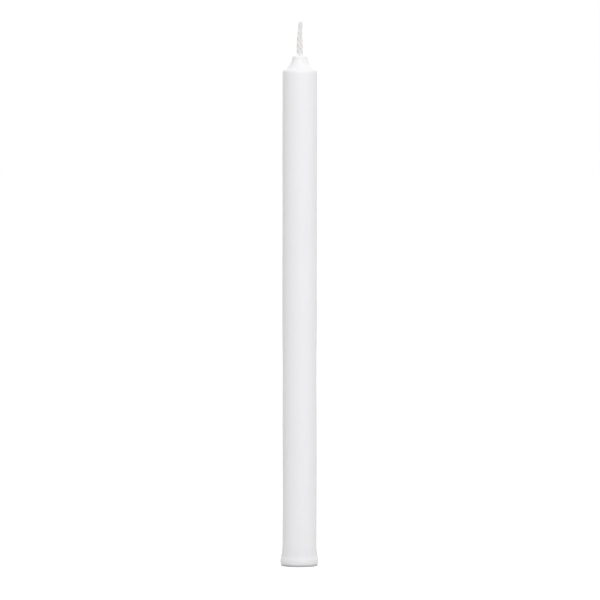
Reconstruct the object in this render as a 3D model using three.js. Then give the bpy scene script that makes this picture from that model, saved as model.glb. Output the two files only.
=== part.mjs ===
// A vigil candle: a wax core pressed round a laid wick, with one coat of harder wax dipped over it.
// The drip bead of the coat is cut flat at the foot, so that the candle stands.
// Millimetres, +Z up. The origin is the centre of the foot, on the surface that it stands on.

import * as THREE from "three";

// Wax
const WAX_HEIGHT = 240;
const CORE_DIAMETER = 14.4;
const COAT_THICKNESS = 0.75;
const COAT_GAP = 0.1;

// Nipple, cove and shoulder at the top
const CORE_NIPPLE_WALL = 0.96;
const NIPPLE_EDGE_RADIUS = 0.8;
const COVE_RADIUS = 7.4;
const SHOULDER_RADIUS = 1.4;
const MENISCUS_RADIUS = 0.5;

// Drip bead and cut foot
const BEAD_PROUD = 0.82;
const BEAD_HEIGHT = 2.45;
const BEAD_ROUNDNESS = 4.9;
const BEAD_RUN_OUT_RADIUS = 20;
const FOOT_EDGE_RADIUS = 0.3;

// Wick: four strands in an S lay
const STRANDS = 4;
const STRAND_DIAMETER = 1.14;
const STRAND_GAP = 0.06;
const WICK_LAY = 11.8;
const WICK_CLEARANCE = 0.1;

// Bare wick above the wax: it narrows and bows a little to the left, and its cut end leans right
const WICK_EXPOSED = 15.7;
const WICK_TURN = 0.83;
const OPEN_LAY_LENGTH = 2;
const TAPER_START = 4.5;
const TAPER_LENGTH = 9;
const TIP_DIAMETER = 2;
const WICK_BOW = 0.12;
const TIP_LEAN = 0.4;

// Facets
const ROUND_SEGMENTS = 40;
const ARC_DIVISIONS = 2;
const STRAND_SIDES = 6;
const STEPS_PER_TURN = 10;

// Sizes that follow from those above
const TAU = 2 * Math.PI;
const LAY_PER_RADIAN = WICK_LAY / TAU;
const STRAND_CIRCLE = strandCircle();
const WICK_RADIUS = STRAND_CIRCLE + STRAND_DIAMETER / 2;
const WICK_TOP = WAX_HEIGHT + WICK_EXPOSED;
const BORE_RADIUS = WICK_RADIUS + WICK_CLEARANCE;
const CORE_INSET = COAT_THICKNESS + COAT_GAP;
const SHAFT_RADIUS = CORE_DIAMETER / 2 + CORE_INSET;
const NIPPLE_RADIUS = BORE_RADIUS + CORE_NIPPLE_WALL + CORE_INSET;

// Radius of the circle that the strands' middle lines wind on, so that neighbours just clear each
// other. Laid strands come closest where one is a little higher than the next, which makes their
// least distance a little shorter than the chord between them.
function strandCircle() {
    const apart = TAU / STRANDS;
    const chord = 2 * Math.sin(apart / 2);
    const straight = (STRAND_DIAMETER + STRAND_GAP) / chord;
    const rise = LAY_PER_RADIAN ** 2 + straight ** 2 * Math.cos(apart);
    const shortening = (straight * Math.sin(apart)) ** 2 / (rise * chord ** 2);
    return straight / Math.sqrt(1 - shortening);
}

// Adds the cut foot and the drip bead to a profile, from the foot's flat up to the shaft.
function addBead(path) {
    const beadX = SHAFT_RADIUS + BEAD_PROUD - BEAD_ROUNDNESS;
    const inner = BEAD_ROUNDNESS - FOOT_EDGE_RADIUS;
    const under = Math.asin((BEAD_HEIGHT - FOOT_EDGE_RADIUS) / inner);
    const footX = beadX + inner * Math.cos(under);

    const runOutX = SHAFT_RADIUS + BEAD_RUN_OUT_RADIUS;
    const reach = BEAD_RUN_OUT_RADIUS + BEAD_ROUNDNESS;
    const over = Math.acos((runOutX - beadX) / reach);
    const runOutZ = BEAD_HEIGHT + reach * Math.sin(over);

    path.lineTo(footX, 0);
    path.absarc(footX, FOOT_EDGE_RADIUS, FOOT_EDGE_RADIUS, -Math.PI / 2, -under, false);
    path.absarc(beadX, BEAD_HEIGHT, BEAD_ROUNDNESS, -under, over, false);
    path.absarc(runOutX, runOutZ, BEAD_RUN_OUT_RADIUS, Math.PI + over, Math.PI, true);
}

// Adds the shaft, shoulder, cove and nipple to a profile, as far as the flat top of the nipple.
// The surface lies `inset` inside the finished wax: each arc keeps its centre and only its radius
// changes, so core and coat follow one another. Returns the radius where the flat top begins.
function addTip(path, inset) {
    const coveX = NIPPLE_RADIUS + COVE_RADIUS;
    const round = Math.max(SHOULDER_RADIUS, inset);
    const roundX = SHAFT_RADIUS - round;
    const drop = Math.sqrt((COVE_RADIUS + round) ** 2 - (coveX - roundX) ** 2);
    const turn = Math.atan2(drop, coveX - roundX);

    const edge = Math.max(NIPPLE_EDGE_RADIUS, inset);
    const start = Math.asin(edge / (COVE_RADIUS + edge));
    const edgeX = coveX - (COVE_RADIUS + edge) * Math.cos(start);

    path.lineTo(SHAFT_RADIUS - inset, WAX_HEIGHT - drop);
    path.absarc(roundX, WAX_HEIGHT - drop, round - inset, 0, turn, false);
    path.absarc(coveX, WAX_HEIGHT, COVE_RADIUS + inset, Math.PI + turn, Math.PI + start, true);
    path.absarc(edgeX, WAX_HEIGHT - edge, edge - inset, start, Math.PI / 2, false);
    return edgeX;
}

// The points of a path, without the repeats that arcs leave where they meet.
function profilePoints(path) {
    const kept = [];
    for (const point of path.getPoints(ARC_DIVISIONS)) {
        if (kept.length === 0 || point.distanceTo(kept[kept.length - 1]) > 0.01) {
            kept.push(point);
        }
    }
    return kept;
}

function revolve(points) {
    return new THREE.LatheGeometry(points, ROUND_SEGMENTS).rotateX(Math.PI / 2);
}

// The pressed core: a rod with a wick bore, and the shoulder and nipple milled on its top.
function coreGeometry() {
    const profile = new THREE.Path();
    profile.moveTo(BORE_RADIUS, 0);
    profile.lineTo(SHAFT_RADIUS - CORE_INSET, 0);
    addTip(profile, CORE_INSET);
    profile.lineTo(BORE_RADIUS, WAX_HEIGHT - CORE_INSET);
    profile.lineTo(BORE_RADIUS, 0);
    return revolve(profilePoints(profile));
}

// The dipped coat: a shell that is cut open at the foot, with a drip bead there and a small
// meniscus where the wax climbed the wick.
function coatGeometry() {
    const outside = new THREE.Path();
    outside.moveTo(SHAFT_RADIUS - COAT_THICKNESS, 0);
    addBead(outside);
    const landRadius = addTip(outside, 0);
    const meniscus = Math.min(MENISCUS_RADIUS, landRadius - BORE_RADIUS);
    const meniscusX = BORE_RADIUS + meniscus;
    outside.absarc(meniscusX, WAX_HEIGHT + meniscus, meniscus, -Math.PI / 2, -Math.PI, true);

    const inside = new THREE.Path();
    inside.moveTo(SHAFT_RADIUS - COAT_THICKNESS, 0);
    addTip(inside, COAT_THICKNESS);
    inside.lineTo(BORE_RADIUS, WAX_HEIGHT - COAT_THICKNESS);
    return revolve([...profilePoints(outside), ...profilePoints(inside).reverse()]);
}

// How far a strand has turned round the wick at a height, in radians. The lay opens towards both
// cut ends, where the strands run straight.
function laidTurn(z) {
    const fromFoot = Math.max(OPEN_LAY_LENGTH - z, 0);
    const fromTip = Math.max(z - (WICK_TOP - OPEN_LAY_LENGTH), 0);
    const opened = (fromFoot ** 2 - fromTip ** 2) / (2 * OPEN_LAY_LENGTH);
    return WICK_TURN - (z - WAX_HEIGHT + opened) / LAY_PER_RADIAN;
}

class StrandCurve extends THREE.Curve {
    getPoint(t, target = new THREE.Vector3()) {
        const z = t * WICK_TOP;
        const angle = laidTurn(z);
        return target.set(STRAND_CIRCLE * Math.cos(angle), STRAND_CIRCLE * Math.sin(angle), z);
    }
}

// Draws the bare wick in towards its cut end, bows and leans it, and cuts the wick square.
function shapeWick(geometry) {
    const position = geometry.getAttribute("position");
    const tipShare = TIP_DIAMETER / (2 * WICK_RADIUS);
    const taperStart = WAX_HEIGHT + TAPER_START;
    for (let i = 0; i < position.count; i++) {
        const z = position.getZ(i);
        const taper = THREE.MathUtils.smoothstep(z, taperStart, taperStart + TAPER_LENGTH);
        const width = THREE.MathUtils.lerp(1, tipShare, taper);
        const bare = Math.max(z - WAX_HEIGHT, 0) / WICK_EXPOSED;
        const lean = TIP_LEAN * bare ** 3 - WICK_BOW * Math.sin(Math.PI * bare);
        position.setX(i, position.getX(i) * width + lean);
        position.setY(i, position.getY(i) * width);
        position.setZ(i, THREE.MathUtils.clamp(z, 0, WICK_TOP));
    }
    return geometry;
}

// One strand of the wick, from the foot to the cut end.
function strandGeometry(index) {
    const corners = [];
    for (let side = 0; side < STRAND_SIDES; side++) {
        const angle = (TAU * side) / STRAND_SIDES;
        corners.push(new THREE.Vector2(Math.cos(angle), Math.sin(angle)));
        corners[side].multiplyScalar(STRAND_DIAMETER / 2);
    }
    const steps = Math.ceil((WICK_TOP / WICK_LAY) * STEPS_PER_TURN);
    const path = new StrandCurve();
    path.arcLengthDivisions = steps;
    const options = { steps, bevelEnabled: false, extrudePath: path };
    const geometry = new THREE.ExtrudeGeometry(new THREE.Shape(corners), options);
    return shapeWick(geometry.rotateZ((TAU * index) / STRANDS));
}

function piece(name, geometry, material) {
    const mesh = new THREE.Mesh(geometry, material);
    mesh.name = name;
    return mesh;
}

const coreWax = new THREE.MeshStandardMaterial({ color: 0xf0efec, roughness: 0.65, metalness: 0 });
const coatWax = new THREE.MeshStandardMaterial({ color: 0xf1f1f3, roughness: 0.42, metalness: 0 });
const cotton = new THREE.MeshStandardMaterial({ color: 0xebe7e1, roughness: 0.9, metalness: 0 });

const wax = new THREE.Group();
wax.add(piece("wax_core", coreGeometry(), coreWax));
wax.add(piece("overdip_coat", coatGeometry(), coatWax));

const wick = new THREE.Group();
for (let index = 0; index < STRANDS; index++) {
    wick.add(piece(`wick_strand_${index + 1}`, strandGeometry(index), cotton));
}

const candle = new THREE.Group();
candle.add(wax, wick);

export default candle;
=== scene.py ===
# %% [markdown]
# # A vigil candle
#
# The object is a slender white candle: a pressed wax core, one coat of harder wax dipped over it, and
# a laid cotton wick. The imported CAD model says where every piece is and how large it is, in metres,
# with the candle's foot at the origin. This script never moves those pieces. It gives each of them a
# finer surface at the same place, because a candle has few features and so its looks are in its
# surfaces: the soft light in the wax, the bead that the dip left at the foot, the yarns of the wick.

# %% Load the frame
import math
import random

import bpy
import numpy as np
from mathutils import Matrix, Vector


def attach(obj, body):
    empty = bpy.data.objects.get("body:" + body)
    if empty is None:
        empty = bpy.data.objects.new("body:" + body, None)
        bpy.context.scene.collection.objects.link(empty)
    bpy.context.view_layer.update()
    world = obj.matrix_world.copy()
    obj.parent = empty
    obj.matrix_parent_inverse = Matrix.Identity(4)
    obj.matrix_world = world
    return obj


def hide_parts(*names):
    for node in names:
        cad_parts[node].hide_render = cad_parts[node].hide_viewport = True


MM = 0.001
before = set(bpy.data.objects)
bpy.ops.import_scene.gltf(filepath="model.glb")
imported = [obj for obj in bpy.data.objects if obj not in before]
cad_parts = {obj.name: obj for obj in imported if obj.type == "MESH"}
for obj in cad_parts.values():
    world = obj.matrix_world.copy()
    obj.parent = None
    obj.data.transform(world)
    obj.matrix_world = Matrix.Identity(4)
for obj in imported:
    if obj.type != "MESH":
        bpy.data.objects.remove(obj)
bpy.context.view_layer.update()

# %% [markdown]
# ## The camera
#
# A long lens from two metres away, level with the candle's top, keeps the sides almost parallel and
# still shows the front of the foot as a shallow curve. A short lens close by would do that too, but
# it would make the candle narrow towards its foot. The lens, height and tilt were solved from the
# heights of the foot, nipple and wick in the photograph, with the candle's real size held fixed. The
# photograph leans by a hair, so the camera rolls by as much.

# %% Place the camera
LENS = 268.4
SENSOR = 36.0
CAMERA_PLACE = (0.00019, -2.1, 0.2476)
CAMERA_TILT = math.radians(90 - 3.333)
CAMERA_ROLL = math.radians(0.06)

lens = bpy.data.cameras.new("photograph_lens")
lens.sensor_width = SENSOR
lens.lens = LENS
lens.clip_start = 0.05
lens.clip_end = 50
camera = bpy.data.objects.new("photograph_camera", lens)
tilt = Matrix.Rotation(CAMERA_TILT, 4, "X")
roll = Matrix.Rotation(CAMERA_ROLL, 4, "Z")
camera.matrix_world = Matrix.Translation(CAMERA_PLACE) @ tilt @ roll
bpy.context.scene.collection.objects.link(camera)
bpy.context.scene.camera = camera
print("camera at", CAMERA_PLACE, "with a lens of", LENS, "mm")

# %% [markdown]
# ## Writing shader maths as sums
#
# A procedural finish is mostly arithmetic on patterns. Blender does it with Math nodes, which are
# tedious to wire by hand. So a small class stands for the output of a node, and its operators add
# the Math nodes: `1 - mask * 0.3` on readings makes the nodes that compute it. Every other node
# comes from one method, which sets the node's own settings first and then its sockets.

# %% Reading and Finish
class Reading:
    """The output socket of a node in a finish, to be used in sums."""

    def __init__(self, finish, socket):
        self.finish = finish
        self.socket = socket

    def maths(self, operation, first, second):
        settings = {"operation": operation}
        return self.finish.node("ShaderNodeMath", settings, {0: first, 1: second})

    def __add__(self, other):
        return self.maths("ADD", self, other)

    def __sub__(self, other):
        return self.maths("SUBTRACT", self, other)

    def __rsub__(self, other):
        return self.maths("SUBTRACT", other, self)

    def __mul__(self, other):
        return self.maths("MULTIPLY", self, other)

    __radd__ = __add__
    __rmul__ = __mul__


class Finish:
    """A material, or the world, and the nodes in it."""

    def __init__(self, owner):
        owner.use_nodes = True
        self.owner = owner
        self.tree = owner.node_tree
        self.tree.nodes.clear()

    def node(self, kind, settings=None, sockets=None, output=0):
        """Adds a node, sets its settings, fills its sockets, and returns the output, if it has one."""
        made = self.tree.nodes.new(kind)
        for name, value in (settings or {}).items():
            setattr(made, name, value)
        for name, value in (sockets or {}).items():
            if isinstance(value, Reading):
                self.tree.links.new(value.socket, made.inputs[name])
            else:
                made.inputs[name].default_value = value
        return Reading(self, made.outputs[output]) if made.outputs else None

    def place(self, scale=(1, 1, 1)):
        """The place on the object in millimetres, stretched by a scale for each axis."""
        where = self.node("ShaderNodeTexCoord", output="Object")
        stretch = [1000 * value for value in scale]
        return self.node("ShaderNodeMapping", sockets={"Vector": where, "Scale": stretch})

    def height(self):
        """The height above the foot in millimetres."""
        return self.node("ShaderNodeSeparateXYZ", sockets={"Vector": self.place()}, output="Z")

    def noise(self, scale, detail, stretch=(1, 1, 1)):
        """A soft random pattern about 0.5, with `scale` waves in a millimetre."""
        sockets = {"Vector": self.place(stretch), "Scale": scale, "Detail": detail}
        return self.node("ShaderNodeTexNoise", sockets=sockets)

    def step(self, value, start, end):
        """A smooth step: 0 where value is at start and 1 where it is at end."""
        settings = {"interpolation_type": "SMOOTHSTEP"}
        sockets = {"Value": value, "From Min": start, "From Max": end}
        return self.node("ShaderNodeMapRange", settings, sockets)

    def blend(self, share, first, second):
        """A colour between first and second, by share."""
        settings = {"data_type": "RGBA"}
        sockets = {0: share, 6: first, 7: second}
        return self.node("ShaderNodeMix", settings, sockets, output=2)

    def bump(self, height, depth_mm, strength):
        """Normals that are tilted by a height pattern which is depth_mm deep."""
        sockets = {"Height": height, "Distance": depth_mm * MM, "Strength": strength}
        return self.node("ShaderNodeBump", sockets=sockets)

    def surface(self, sockets):
        """Ends the nodes in a Principled shader with these sockets."""
        shader = self.node("ShaderNodeBsdfPrincipled", sockets=sockets)
        self.node("ShaderNodeOutputMaterial", sockets={"Surface": shader})


def new_finish(name):
    return Finish(bpy.data.materials.new(name))


def saw_marks(finish):
    """Fine parallel marks that a saw leaves, as a pattern about 0.5."""
    return finish.noise(1.4, 2, (6, 0.3, 1))


print("shader helpers are ready")

# %% [markdown]
# ## The coat's wax
#
# A dipped coat is hard wax that set in air. It is white with a trace of blue, satin rather than
# glossy, and it lets light in a little way, which softens its shadows. A plain white plastic would
# look hard, so the light may scatter under the surface for a few tenths of a millimetre. The coat is
# thin, and a longer path would lose the light into the joint under it. Broad, faint clouds in colour
# and gloss stand for wax that set a little sooner or later, and a shallow ripple for the dip. The
# last wax gathered in the bead and stayed liquid longest, so it set smoother, with a thin gloss that
# shows the lamps as soft spots. Just above the bead, and less on it, the colour is darker: painted
# shade, which holds back the light that the upward-tilted run-out takes from the high lamps. The foot
# was cut, so it is matt there and has fine parallel marks. Its lowest 1.3 mm is darkened in patches:
# painted shade for the dark contact under the bead.

# %% Finish of the coat
WAX_WHITE = (0.86, 0.86, 0.88, 1)
WAX_CLOUD = (0.835, 0.835, 0.855, 1)
# Painted shade: a darker wax tone laid on the run-out above the bead.
WAX_PAINTED_SHADE = (0.795, 0.795, 0.815, 1)
# Painted shade: a dark tone laid in patches on the lowest part of the foot.
FOOT_PAINTED_SHADE = (0.56, 0.55, 0.54, 1)
CUT_TOP = 0.05
# Height below which the foot is darkened by painted shade.
FOOT_SHADE_TOP = 1.3
BEAD_TOP = 5.0
BEAD_SMOOTH = 3.2
UNDER_MATT = 0.9
UNDER_SMOOTH = 1.9
# Heights between which the painted shade of the run-out fades in.
RUNOUT_SHADE_TOP = 11
RUNOUT_SHADE_MIDDLE = 5

coat_finish = new_finish("dipped_wax")
clouds = coat_finish.noise(0.09, 3, (1, 1, 0.35))
ripple = coat_finish.noise(0.22, 1, (1, 1, 0.4))
grain = coat_finish.noise(2.6, 3)
height = coat_finish.height()
cut = coat_finish.step(height, CUT_TOP, 0)
gathered = coat_finish.step(height, BEAD_TOP, BEAD_SMOOTH)
drained = gathered * coat_finish.step(height, UNDER_MATT, UNDER_SMOOTH)
# Painted shade in patches at the foot, under the bead.
painted_foot_shade = coat_finish.step(height, FOOT_SHADE_TOP, 0) * (0.35 + 0.5 * grain)
# Painted shade on the run-out, and less of it on the bead.
painted_runout_shade = coat_finish.step(height, RUNOUT_SHADE_TOP, RUNOUT_SHADE_MIDDLE) * (1 - 0.6 * gathered)
runout_shaded_wax = coat_finish.blend(painted_runout_shade, coat_finish.blend(clouds, WAX_WHITE, WAX_CLOUD), WAX_PAINTED_SHADE)
relief = ripple + 0.06 * grain + cut * saw_marks(coat_finish) * 0.5
coat_finish.surface({
    # The base colour carries painted shade on the run-out and at the foot.
    "Base Color": coat_finish.blend(painted_foot_shade, runout_shaded_wax, FOOT_PAINTED_SHADE),
    "Roughness": 0.42 + 0.1 * clouds - 0.26 * drained + 0.2 * cut,
    "Coat Weight": 0.35 * drained,
    "Coat Roughness": 0.12,
    "Normal": coat_finish.bump(relief, 0.05, 0.5),
    "Subsurface Weight": 0.35,
    "Subsurface Radius": (1.0, 0.9, 0.82),
    "Subsurface Scale": 0.3 * MM,
    "IOR": 1.44,
    "Specular IOR Level": 0.35,
})
print("finish:", coat_finish.owner.name)

# %% [markdown]
# ## The core's wax
#
# The core is pressed from wax powder, softer and more matt than the coat. Only its cut end at the
# foot shows. There the grains that were pressed together still show as pale flakes, so cells of
# about half a millimetre carry the colour, and the saw left fine marks across it.

# %% Finish of the core
CORE_LIGHT = (0.86, 0.855, 0.845, 1)
CORE_DARK = (0.8, 0.795, 0.785, 1)

core_finish = new_finish("pressed_wax")
flakes = core_finish.node(
    "ShaderNodeTexVoronoi",
    sockets={"Vector": core_finish.place(), "Scale": 1.8},
)
core_finish.surface({
    "Base Color": core_finish.blend(flakes, CORE_LIGHT, CORE_DARK),
    "Roughness": 0.55 + 0.2 * flakes,
    "Normal": core_finish.bump(saw_marks(core_finish) + 0.5 * flakes, 0.04, 0.5),
    "Subsurface Weight": 0.35,
    "Subsurface Radius": (1.0, 0.9, 0.8),
    "Subsurface Scale": 0.4 * MM,
    "IOR": 1.44,
})
print("finish:", core_finish.owner.name)

# %% [markdown]
# ## The wick's cotton
#
# A candle wick is bleached cotton that was primed in wax, so it is a warm, greyish white, and stiff.
# The yarns are modelled, so the finish adds what is finer: fibres that run along the yarns, seen as
# streaks in colour and a fine bump, and a faint bloom from fibre ends, which the sheen gives. The
# coat's wax soaked its lowest two and a half millimetres, and it is smoother and whiter there. No
# light scatters inside it: a yarn lies against its neighbours, and light that enters one is lost
# between them, which made the whole wick dark.

# %% Finish of the wick
COTTON_LIGHT = (0.845, 0.832, 0.828, 1)
COTTON_DARK = (0.765, 0.751, 0.745, 1)
SOAKED = (0.85, 0.85, 0.855, 1)
WAX_TOP = 240.0
SOAKED_TOP = 242.5

wick_finish = new_finish("waxed_cotton")
streaks = wick_finish.noise(5, 2, (1, 1, 0.16))
fibres = wick_finish.noise(22, 2, (1, 1, 0.1))
soaked = wick_finish.step(wick_finish.height(), SOAKED_TOP, WAX_TOP)
dry = 1 - soaked
cotton = wick_finish.blend(streaks, COTTON_LIGHT, COTTON_DARK)
wick_finish.surface({
    "Base Color": wick_finish.blend(soaked, cotton, SOAKED),
    "Roughness": 0.5 + 0.3 * dry,
    "Normal": wick_finish.bump(fibres * dry, 0.03, 0.7),
    "Sheen Weight": 0.15,
    "Sheen Roughness": 0.5,
})
print("finish:", wick_finish.owner.name)

# %% [markdown]
# ## From points to pieces
#
# Wax pieces are solids of revolution and yarns are tubes, so two ways of joining rings of points are
# enough. Each piece is one closed mesh, or several in the case of yarns, because the visual model is
# also kept as plain meshes. Points are in millimetres, as a candle maker would give them, and they
# turn into metres here. Each piece then rides on the model's one body, stands for its CAD node, and
# carries its finish.

# %% Helpers for meshes
SHARP_ANGLE = math.radians(50)


def add_piece(name, points, faces, finish, slot, node):
    """Makes an object from points in millimetres, in the place of a CAD node."""
    mesh = bpy.data.meshes.new(name)
    mesh.from_pydata((np.asarray(points) * MM).tolist(), [], faces)
    mesh.polygons.foreach_set("use_smooth", [True] * len(mesh.polygons))
    mesh.set_sharp_from_angle(angle=SHARP_ANGLE)
    mesh.materials.append(finish.owner)
    piece = bpy.data.objects.new(name, mesh)
    bpy.context.scene.collection.objects.link(piece)
    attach(piece, "root")
    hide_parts(node)
    print(name, "has", len(mesh.vertices), "points and stands for", node)


def grid_faces(rows, columns, closed):
    """Four-sided faces between rings of points, where the last ring may join the first."""
    faces = []
    for row in range(rows if closed else rows - 1):
        above = (row + 1) % rows
        for column in range(columns):
            beside = (column + 1) % columns
            near = (row * columns + column, row * columns + beside)
            far = (above * columns + beside, above * columns + column)
            faces.append(near + far)
    return faces


def arc(centre, radius, start, end, count):
    """Points on an arc of a profile, as (distance from the axis, height)."""
    angles = np.linspace(start, end, count)
    return np.stack([centre[0] + radius * np.cos(angles), centre[1] + radius * np.sin(angles)], 1)


print("mesh helpers are ready")

# %% [markdown]
# ## The profile of the wax
#
# The photograph's outline fits a chain of arcs that a wax turner would know: a small foot edge, the
# drip bead, a long run-out into the shaft, then a shoulder, a hollow cove and the rounded nipple. The
# bead hung as a drop before it was cut, so it is rounder below than above: two arcs with a short
# upright band between them. Drawing the tip with an inset gives both the coat and the core: every arc
# keeps its centre and only its radius changes, so the coat has one thickness all over. Arcs need few
# numbers, which is why they are used here and not a traced line of points.

# %% Profile of shaft, shoulder, cove and nipple
SHAFT_RADIUS = 8.05
COVE_RADIUS = 7.4
SHOULDER_RADIUS = 1.8
NIPPLE_RADIUS = 3.375
NIPPLE_EDGE = 0.8


def tip_profile(inset):
    """The profile from the top of the shaft to the flat top of the nipple, `inset` inside."""
    cove_x = NIPPLE_RADIUS + COVE_RADIUS
    shoulder = max(SHOULDER_RADIUS, inset)
    shoulder_x = SHAFT_RADIUS - shoulder
    drop = math.sqrt((COVE_RADIUS + shoulder) ** 2 - (cove_x - shoulder_x) ** 2)
    turn = math.atan2(drop, cove_x - shoulder_x)
    edge = max(NIPPLE_EDGE, inset)
    start = math.asin(edge / (COVE_RADIUS + edge))
    edge_x = cove_x - (COVE_RADIUS + edge) * math.cos(start)
    return np.concatenate([
        arc((shoulder_x, WAX_TOP - drop), shoulder - inset, 0, turn, 16),
        arc((cove_x, WAX_TOP), COVE_RADIUS + inset, math.pi + turn, math.pi + start, 32)[1:],
        arc((edge_x, WAX_TOP - edge), edge - inset, start, math.pi / 2, 12)[1:],
    ])


BEAD_PROUD = 0.95
UNDER_MIDDLE = 1.85
UNDER_ROUND = 2.3
OVER_MIDDLE = 2.7
OVER_ROUND = 3.2
RUN_OUT_RADIUS = 24.4
FOOT_EDGE = 0.3


def bead_profile():
    """The profile from the flat of the foot, over the drip bead, to the foot of the shaft."""
    widest = SHAFT_RADIUS + BEAD_PROUD
    inner = UNDER_ROUND - FOOT_EDGE
    under = math.asin((UNDER_MIDDLE - FOOT_EDGE) / inner)
    foot_x = widest - UNDER_ROUND + inner * math.cos(under)
    run_out_x = SHAFT_RADIUS + RUN_OUT_RADIUS
    reach = RUN_OUT_RADIUS + OVER_ROUND
    over = math.acos((run_out_x - widest + OVER_ROUND) / reach)
    run_out_z = OVER_MIDDLE + reach * math.sin(over)
    return np.concatenate([
        arc((foot_x, FOOT_EDGE), FOOT_EDGE, -math.pi / 2, -under, 10),
        arc((widest - UNDER_ROUND, UNDER_MIDDLE), UNDER_ROUND, -under, 0, 18)[1:],
        arc((widest - OVER_ROUND, OVER_MIDDLE), OVER_ROUND, 0, over, 10),
        arc((run_out_x, run_out_z), RUN_OUT_RADIUS, math.pi + over, math.pi, 18)[1:],
    ])


tip = tip_profile(0)
bead = bead_profile()
print("shaft runs from", round(bead[-1, 1], 2), "to", round(tip[0, 1], 2), "mm")

# %% [markdown]
# ## Wax is never quite round
#
# A coat that drained and set in air strays from a true cylinder by a few hundredths of a millimetre,
# and its drip bead is a little uneven round the foot. Reflections show that at once, and a perfect
# cylinder looks like plastic. The photograph also shows the lower shaft swell a little to the right.
# Displacement from a texture would do it, but a few slow waves in height and direction are easier to
# steer, and they keep the same outline in every render.

# %% Waver of the dipped surface
BELLY = 0.06
BELLY_FOOT = 5
BELLY_LENGTH = 225
WAVER = 0.02
WAVE_CREST = 60
WAVE_LENGTH = 68
WAVER_FOOT = 2
WAVER_TOP = 231
BOW = 0.14
BOW_MIDDLE = 40
BOW_REACH = 34
BEAD_WAVER = 0.07
BEAD_MIDDLE = 3.4
BEAD_REACH = 2.6


def waver(height, turn):
    """How far the coat's surface strays outwards, in millimetres."""
    belly = BELLY * np.sin(math.pi * (height - BELLY_FOOT) / BELLY_LENGTH) + WAVER
    bow = BOW * np.exp(-(((height - BOW_MIDDLE) / BOW_REACH) ** 2)) * np.cos(turn)
    waves = WAVER * np.cos(math.tau * (height - WAVE_CREST) / WAVE_LENGTH)
    waves += 0.6 * WAVER * np.sin(2 * turn + height / 31)
    waves += 0.4 * WAVER * np.sin(3 * turn - height / 17 + 1.3)
    on_shaft = np.clip((height - WAVER_FOOT) / 6, 0, 1) * np.clip((WAVER_TOP - height) / 8, 0, 1)
    uneven = np.sin(3 * turn + 0.7) * 0.4 + np.sin(2 * turn + 2.9) * 0.6
    on_bead = np.exp(-(((height - BEAD_MIDDLE) / BEAD_REACH) ** 2)) * np.clip(height / 1.2, 0, 1)
    return (belly + bow + waves) * on_shaft + BEAD_WAVER * uneven * on_bead


heights = np.linspace(0, 240, 481)
print("the shaft strays by up to", round(float(np.abs(waver(heights, 0.4)).max()), 3), "mm")

# %% [markdown]
# ## The dipped coat
#
# The coat is the candle's whole visible outside: a shell that is open at the foot, where it was cut
# off flat, and round the wick, where the wax climbed the strands in a small meniscus before it set.
# One closed profile is turned round the axis, and each ring is then moved by the waver. The meniscus
# rises a little more in the grooves between strands, as wax does when it wets yarn.

# %% Turn the coat
COAT = 0.75
SEGMENTS = 192
MENISCUS = 0.12
WICK_HOLD = 1.42
WICK_CORE = 0.9
SHAFT_STEP = 1.5
OUTER_BAND = 0.6
LOW_RING = 75
HIGH_RING = 150
GROOVE_CLIMB = 0.05
CLIMB_START = 2.6
CLIMB_SPAN = 1.1
STRANDS = 4
WICK_TURN = 0.83
TURNS = np.linspace(0, math.tau, SEGMENTS, endpoint=False)


def turned(profile, stray=None):
    """Points of a profile turned round the axis, with its rings moved outwards by stray."""
    rings = []
    for radius, height in profile:
        out = radius + (0 if stray is None else stray(radius, height))
        across = [out * np.cos(TURNS), out * np.sin(TURNS), np.full(SEGMENTS, height)]
        rings.append(np.stack(across, 1))
    return np.concatenate(rings)


shaft_heights = np.arange(bead[-1, 1] + SHAFT_STEP, tip[0, 1] - 1, SHAFT_STEP)
shaft = np.stack([np.full(len(shaft_heights), SHAFT_RADIUS), shaft_heights], 1)
climb = arc((WICK_HOLD + MENISCUS, WAX_TOP + MENISCUS), MENISCUS, -math.pi / 2, -math.pi, 9)
into_wick = [[WICK_CORE, WAX_TOP + MENISCUS]]
outside = np.concatenate([bead, shaft, tip, climb, into_wick])
inner_radius = SHAFT_RADIUS - COAT
inside = np.concatenate([
    [[WICK_CORE, WAX_TOP - COAT]],
    tip_profile(COAT)[::-1],
    [[inner_radius, HIGH_RING], [inner_radius, LOW_RING], [inner_radius, 0]],
])
coat_points = turned(
    np.concatenate([outside, inside]),
    lambda radius, height: waver(height, TURNS) if radius > SHAFT_RADIUS - OUTER_BAND else 0,
)
from_axis = np.hypot(coat_points[:, 0], coat_points[:, 1])
near_wick = np.clip((CLIMB_START - from_axis) / CLIMB_SPAN, 0, 1)
above = coat_points[:, 2] > WAX_TOP - 0.01
groove = np.cos(STRANDS * (np.arctan2(coat_points[:, 1], coat_points[:, 0]) - WICK_TURN))
coat_points[:, 2] -= GROOVE_CLIMB * groove * near_wick * above
add_piece(
    "dipped_coat",
    coat_points,
    grid_faces(len(outside) + len(inside), SEGMENTS, True),
    coat_finish,
    "coat_wax",
    "overdip_coat",
)

# %% [markdown]
# ## The pressed core
#
# The core fills the coat, so only its cut end shows, in a ring between the coat and the wick. On the
# real candle the two waxes fused, so the core is made as wide as the coat's inside, less a hair, and
# the joint shows at the foot as a fine line. At the cut the wax also fills the bore round the
# strands, so a thin plug closes it there. Higher up nobody sees the bore, and it stays open.

# %% Turn the core
JOINT_LINE = 0.01
CORE_EDGE = 0.05
BORE_RING = 120
PLUG_HOLE = 0.02
PLUG_LEVEL = 0.04
PLUG_TOP = 1.5

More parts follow.
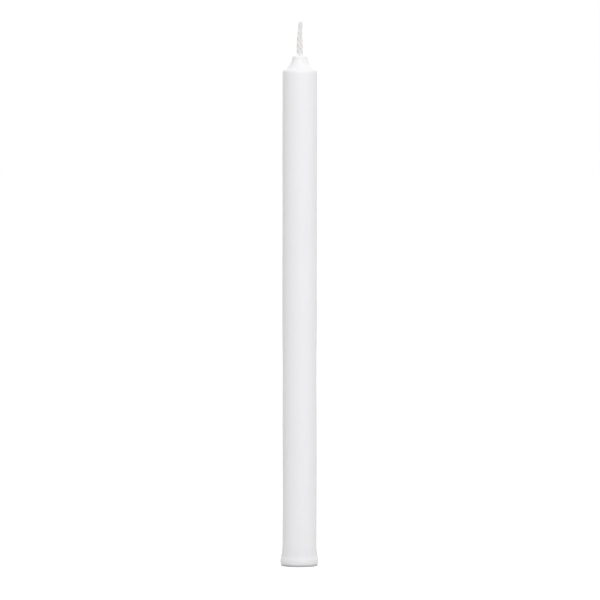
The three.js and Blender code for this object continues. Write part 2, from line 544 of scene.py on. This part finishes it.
core_radius = SHAFT_RADIUS - COAT - JOINT_LINE
core_profile = np.concatenate([
    [[PLUG_HOLE, PLUG_LEVEL], [WICK_HOLD, PLUG_LEVEL], [WICK_HOLD, 0]],
    [[core_radius - CORE_EDGE, 0], [core_radius, CORE_EDGE]],
    [[core_radius, LOW_RING], [core_radius, HIGH_RING]],
    tip_profile(COAT + JOINT_LINE),
    [[WICK_HOLD, WAX_TOP - COAT - JOINT_LINE], [WICK_HOLD, BORE_RING]],
    [[WICK_HOLD, PLUG_TOP], [PLUG_HOLE, PLUG_TOP]],
])
add_piece(
    "pressed_core",
    turned(core_profile),
    grid_faces(len(core_profile), SEGMENTS, True),
    core_finish,
    "core_wax",
    "wax_core",
)

# %% [markdown]
# ## The laid wick
#
# Four strands lie round each other in an S lay. Each has a heart of cotton and nine yarns round it
# with the opposite twist, which is what keeps a laid cord from opening, and which makes the yarns on
# the outside run almost straight up the wick. Textured tubes would show the lay, but the cut end and
# the outline would stay smooth. So every yarn is its own tube, wound round its strand, which winds
# round the wick. The bare part narrows and leans as the photograph shows, and opens a little at the
# cut.

# %% Lines of the strands
WICK_TOP = 255.7
WICK_BARE = WICK_TOP - WAX_TOP
WICK_LAY = 11.8
OPEN_LAY = 2.0
STRAND_CIRCLE = 0.895
WICK_RADIUS = 1.465
TAPER_START = 4.0
TAPER_LENGTH = 10.0
TIP_RADIUS = 0.98
WICK_BOW = 0.12
TIP_LEAN = 0.4
TIP_FLARE = 0.06
FLARE_LENGTH = 1.6


def smooth(value, start, end):
    share = np.clip((value - start) / (end - start), 0, 1)
    return share * share * (3 - 2 * share)


def laid_turn(height):
    """How far a strand has turned round the wick at a height, in radians."""
    from_foot = np.maximum(OPEN_LAY - height, 0)
    from_tip = np.maximum(height - (WICK_TOP - OPEN_LAY), 0)
    opened = (from_foot ** 2 - from_tip ** 2) / (2 * OPEN_LAY)
    return WICK_TURN - (height - WAX_TOP + opened) * math.tau / WICK_LAY


def drawn_width(height):
    """The width of the wick at a height, as a share of its full width."""
    drawn = smooth(height, WAX_TOP + TAPER_START, WAX_TOP + TAPER_START + TAPER_LENGTH)
    flare = 1 + TIP_FLARE * smooth(height, WICK_TOP - FLARE_LENGTH, WICK_TOP)
    return (1 + (TIP_RADIUS / WICK_RADIUS - 1) * drawn) * flare


def shaped(points):
    """Draws the bare wick in towards its cut end, then bows and leans it."""
    height = points[:, 2]
    bare = np.clip((height - WAX_TOP) / WICK_BARE, 0, 1)
    width = drawn_width(height)
    lean = TIP_LEAN * bare ** 3 - WICK_BOW * np.sin(math.pi * bare)
    level = np.clip(height, 0, WICK_TOP)
    return np.stack([points[:, 0] * width + lean, points[:, 1] * width, level], 1)


print("the strands turn", round(WICK_TOP / WICK_LAY, 1), "times from foot to tip")

# %% [markdown]
# ## One yarn as a tube
#
# A yarn's middle line circles its strand's line, in two directions that are square to it: away from
# the wick's axis, and beside it. Rings of points round that line make the tube. A bevelled curve
# would need less code, but a plain mesh closes each end with a flat cap. The rings lie close together
# where the wick shows and far apart inside the wax, to keep the mesh light.

# %% Yarns round each strand
YARNS = 9
YARN_RADIUS = 0.15
YARN_CIRCLE = 0.42
HEART_RADIUS = 0.51
YARN_PITCH = 4.2
YARN_SIDES = 7
FOOT_PART = 1.5
HIDDEN_TOP = WAX_TOP - 2
FOOT_STEP = 0.3
COARSE_STEP = 1.0
FINE_STEP = 0.14


def wick_heights():
    """Heights along the wick, close together where it shows and far apart inside the wax."""
    foot = np.arange(0, FOOT_PART, FOOT_STEP)
    inside_wax = np.arange(FOOT_PART, HIDDEN_TOP, COARSE_STEP)
    bare = np.arange(HIDDEN_TOP, WICK_TOP, FINE_STEP)
    return np.concatenate([foot, inside_wax, bare, [WICK_TOP]])


def yarn_line(strand, yarn, heights, stray):
    """The middle line of one yarn. Yarn 0 is the heart, in the middle of its strand."""
    turn = laid_turn(heights) + math.tau * strand / STRANDS
    out = np.stack([np.cos(turn), np.sin(turn), 0 * turn], 1)
    middle = STRAND_CIRCLE * out + np.stack([0 * turn, 0 * turn, heights], 1)
    along = np.gradient(middle, axis=0)
    along /= np.linalg.norm(along, axis=1, keepdims=True)
    beside = np.cross(along, out)
    twist = math.tau * (heights / YARN_PITCH + yarn / YARNS) + stray
    circle = YARN_CIRCLE if yarn else 0
    line = middle + circle * (np.cos(twist)[:, None] * out + np.sin(twist)[:, None] * beside)
    return shaped(line)


def tube(line, radii, sides):
    """Points and faces of a closed tube along a line."""
    along = np.gradient(line, axis=0)
    along /= np.linalg.norm(along, axis=1, keepdims=True)
    across = np.cross(along, [0, 1, 0])
    across /= np.linalg.norm(across, axis=1, keepdims=True)
    beside = np.cross(along, across)
    angles = np.linspace(0, math.tau, sides, endpoint=False)
    turned_across = np.cos(angles)[None, :, None] * across[:, None]
    turned_beside = np.sin(angles)[None, :, None] * beside[:, None]
    points = line[:, None] + (turned_across + turned_beside) * np.asarray(radii)[:, None, None]
    points[:, :, 2] = np.clip(points[:, :, 2], 0, WICK_TOP)
    faces = grid_faces(len(line), sides, False)
    faces.append(tuple(range(sides))[::-1])
    faces.append(tuple((len(line) - 1) * sides + side for side in range(sides)))
    return points.reshape(-1, 3), faces


def joined(parts):
    """Points and faces of several parts as one mesh."""
    points, faces, first = [], [], 0
    for part_points, part_faces in parts:
        points.append(part_points)
        faces += [tuple(first + corner for corner in face) for face in part_faces]
        first += len(part_points)
    return np.concatenate(points), faces


print(STRANDS, "strands, each of a heart and", YARNS, "yarns")

# %% [markdown]
# ## Strands, and fibres that came loose
#
# Cotton yarn varies in thickness, and some fibres stand off it, most of all at the cut. A few slow
# random waves in each yarn's thickness and place keep the lay from looking machined. The loose
# fibres are hair-thin tubes that leave the surface at a shallow angle. The wick was primed, so wax
# sits between the strands. It fills the bottoms of the grooves, which are pale in the photograph and
# would be dark slits without it. The random numbers are seeded, so that each run makes the same wick.

# %% Wind the strands
SEED = 41
YARN_STRAY = 0.16
YARN_UNEVEN = 0.07
FRAY = 0.16
FRAY_LENGTH = 2
FIBRES = 9
FIBRE_RADIUS = 0.012
FIBRE_LENGTHS = (0.5, 1.5)
FIBRE_LIFTS = (0.25, 0.9)
FIBRE_ROOT = 0.35
FIBRE_POINTS = 8
FIBRE_SIDES = 4
PRIME_RADIUS = 0.93
PRIME_STEP = 0.3
PRIME_SIDES = 24
chance = random.Random(SEED)


def yarn_part(strand, yarn, heights):
    """One yarn as a tube whose thickness and place vary a little along it."""
    phase, slow = chance.uniform(0, math.tau), chance.uniform(0.5, 0.9)
    stray = YARN_STRAY * np.sin(slow * heights + phase)
    thick = 1 + YARN_UNEVEN * np.sin(1.7 * heights + 2 * phase)
    frayed = smooth(heights, WICK_TOP - FRAY_LENGTH, WICK_TOP)
    ends = heights + chance.uniform(-FRAY, 0) * frayed
    radius = (YARN_RADIUS if yarn else HEART_RADIUS) * drawn_width(heights)
    return tube(yarn_line(strand, yarn, ends, stray), radius * thick, YARN_SIDES)


def fibre_part(strand):
    """One loose fibre: it starts inside the strand, leaves it and bends upwards."""
    height = chance.uniform(WAX_TOP + 1.5, WICK_TOP - 0.4)
    turn = float(laid_turn(height)) + math.tau * strand / STRANDS + chance.uniform(-0.8, 0.8)
    length, lift = chance.uniform(*FIBRE_LENGTHS), chance.uniform(*FIBRE_LIFTS)
    share = np.linspace(0, 1, FIBRE_POINTS)
    out = STRAND_CIRCLE + FIBRE_ROOT + length * lift * share * (1 - 0.4 * share)
    bend = turn + chance.uniform(-0.5, 0.5) * share ** 2
    rise = np.minimum(height + length * share * (1 - lift * 0.5), WICK_TOP - 0.02)
    line = np.stack([out * np.cos(bend), out * np.sin(bend), rise], 1)
    radii = np.linspace(FIBRE_RADIUS, FIBRE_RADIUS * 0.4, FIBRE_POINTS)
    return tube(shaped(line), radii, FIBRE_SIDES)


def prime_part():
    """The wax that soaked the wick when it was primed and sits between its strands."""
    heights = np.arange(WAX_TOP - 1, WICK_TOP - 0.1, PRIME_STEP)
    middle = np.stack([0 * heights, 0 * heights, heights], 1)
    return tube(shaped(middle), PRIME_RADIUS * drawn_width(heights), PRIME_SIDES)


for strand in range(STRANDS):
    parts = [yarn_part(strand, yarn, wick_heights()) for yarn in range(YARNS + 1)]
    parts += [prime_part()] if strand == 0 else []
    parts += [fibre_part(strand) for fibre in range(FIBRES)]
    node = f"wick_strand_{strand + 1}"
    add_piece(f"laid_strand_{strand + 1}", *joined(parts), wick_finish, "wick_cotton", node)

# %% [markdown]
# ## Floor and surroundings
#
# The photograph has no visible floor or wall: both are so bright that they are plain white, and only
# the dark line under the foot says that the candle stands on something. More light would give that
# white and spoil the wax. Instead the floor shows white by Light Path: for the camera it is a pale
# diffuse surface with a glow that fades within a millimetre of the foot, so the contact shadow stays,
# and for reflections it is plain white. The light that it throws back at the wax is set apart from
# both. A paler floor made the lower shaft too light, so that share was fitted to the photograph.

# %% Floor
FLOOR_HALF = 6.0
FLOOR_DROP = 0.02 * MM
FLOOR_PALE = (0.6, 0.6, 0.6, 1)
FLOOR_BOUNCE = (0.58, 0.58, 0.58, 1)
BLACK = (0, 0, 0, 1)
FLOOR_LIFT = 0.6
SHADE_REACH = 1 * MM
SHADE_SAMPLES = 8


def seen_rays(finish):
    """1 for rays of the camera, of reflections and of what shows through, and 0 for the rest."""
    share = finish.node("ShaderNodeLightPath", output="Is Camera Ray")
    for ray in ("Is Glossy Ray", "Is Transmission Ray"):
        other = finish.node("ShaderNodeLightPath", output=ray)
        share = share.maths("MAXIMUM", share, other)
    return share


floor_finish = new_finish("pale_floor")
seen = floor_finish.node("ShaderNodeLightPath", output="Is Camera Ray")
mirrored = seen_rays(floor_finish) - seen
direct = floor_finish.blend(seen, FLOOR_BOUNCE, FLOOR_PALE)
grey = floor_finish.blend(mirrored, direct, BLACK)
paper = floor_finish.node("ShaderNodeBsdfDiffuse", sockets={"Color": grey})
open_sky = floor_finish.node(
    "ShaderNodeAmbientOcclusion",
    {"samples": SHADE_SAMPLES},
    {"Distance": SHADE_REACH},
    output="AO",
)
strength = mirrored + seen * open_sky * FLOOR_LIFT
lift = floor_finish.node("ShaderNodeEmission", sockets={"Strength": strength})
both = floor_finish.node("ShaderNodeAddShader", sockets={0: paper, 1: lift})
floor_finish.node("ShaderNodeOutputMaterial", sockets={"Surface": both})

corners = [(-1, -1), (1, -1), (1, 1), (-1, 1)]
floor_mesh = bpy.data.meshes.new("floor")
floor_points = [(x * FLOOR_HALF, y * FLOOR_HALF, -FLOOR_DROP) for x, y in corners]
floor_mesh.from_pydata(floor_points, [], [(0, 1, 2, 3)])
floor_mesh.materials.append(floor_finish.owner)
floor = bpy.data.objects.new("floor", floor_mesh)
bpy.context.scene.collection.objects.link(floor)
print("floor of", 2 * FLOOR_HALF, "m")

# %% [markdown]
# ## The white room
#
# The surroundings are one even white. White walls would do the same, but they would stand between a
# turned camera and the candle. So the world has two levels, told apart by Light Path: white for what
# is seen, straight or in a reflection, and a plain level for the light that it sheds. That level and
# its trace of warmth were fitted on the shaft's left side, which the lamps hardly reach.

# %% World
WORLD_WHITE = (1, 1, 1, 1)
AMBIENT_LIGHT = (0.8, 0.782, 0.766, 1)

world = bpy.data.worlds.new("white_room")
bpy.context.scene.world = world
room = Finish(world)
light = room.blend(seen_rays(room), AMBIENT_LIGHT, WORLD_WHITE)
sky = room.node("ShaderNodeBackground", sockets={"Color": light, "Strength": 1.0})
room.node("ShaderNodeOutputWorld", sockets={"Surface": sky})
print("the world lights the wax with", AMBIENT_LIGHT[:3])

# %% [markdown]
# ## Soft lamps
#
# The wax is lightest just right of its middle and falls off gently to both sides, a little more to
# the left. The bead shows two soft spots, so the key is low at the right and a weaker fill stands at
# the left. The cove under the nipple is the brightest place, so most of the light comes from three
# higher lamps. The last one stands behind, where the photograph's camera hardly sees its light, so
# that the back isn't flat and dull. Each is placed by its direction from the candle, as one would
# describe a softbox on a stand. Their powers were fitted together, from renders with one lamp each.

# %% Softboxes
AIM = Vector((0, 0, 0.13))
LAMP_DISTANCE = 1.5
LAMP_TINT = (0.974, 1.0, 1.02)


def softbox(name, azimuth, elevation, size, power):
    """An area lamp that faces the candle. Azimuth 0 is at the camera's side, and 90 to the right."""
    lamp = bpy.data.lights.new(name, "AREA")
    lamp.shape = "RECTANGLE"
    lamp.size, lamp.size_y = size
    lamp.energy = power
    lamp.color = LAMP_TINT
    across, up = math.radians(azimuth), math.radians(elevation)
    flat = math.cos(up)
    way = Vector((math.sin(across) * flat, -math.cos(across) * flat, math.sin(up)))
    stand = bpy.data.objects.new(name, lamp)
    stand.location = AIM + way * LAMP_DISTANCE
    stand.rotation_mode = "QUATERNION"
    stand.rotation_quaternion = way.to_track_quat("Z", "Y")
    bpy.context.scene.collection.objects.link(stand)
    return stand


lamps = [
    softbox("key", 24, 0, (0.6, 0.16), 2.6),
    softbox("fill", -38, 17, (0.6, 0.6), 0.45),
    softbox("middle", 5, 30, (0.9, 0.6), 2.2),
    softbox("high", 15, 50, (0.9, 0.6), 3.3),
    softbox("top", 40, 72, (0.6, 0.6), 1.0),
    softbox("behind", 180, 25, (0.6, 0.6), 5.5),
]
bpy.context.scene.view_settings.view_transform = "Standard"
print(len(lamps), "lamps")
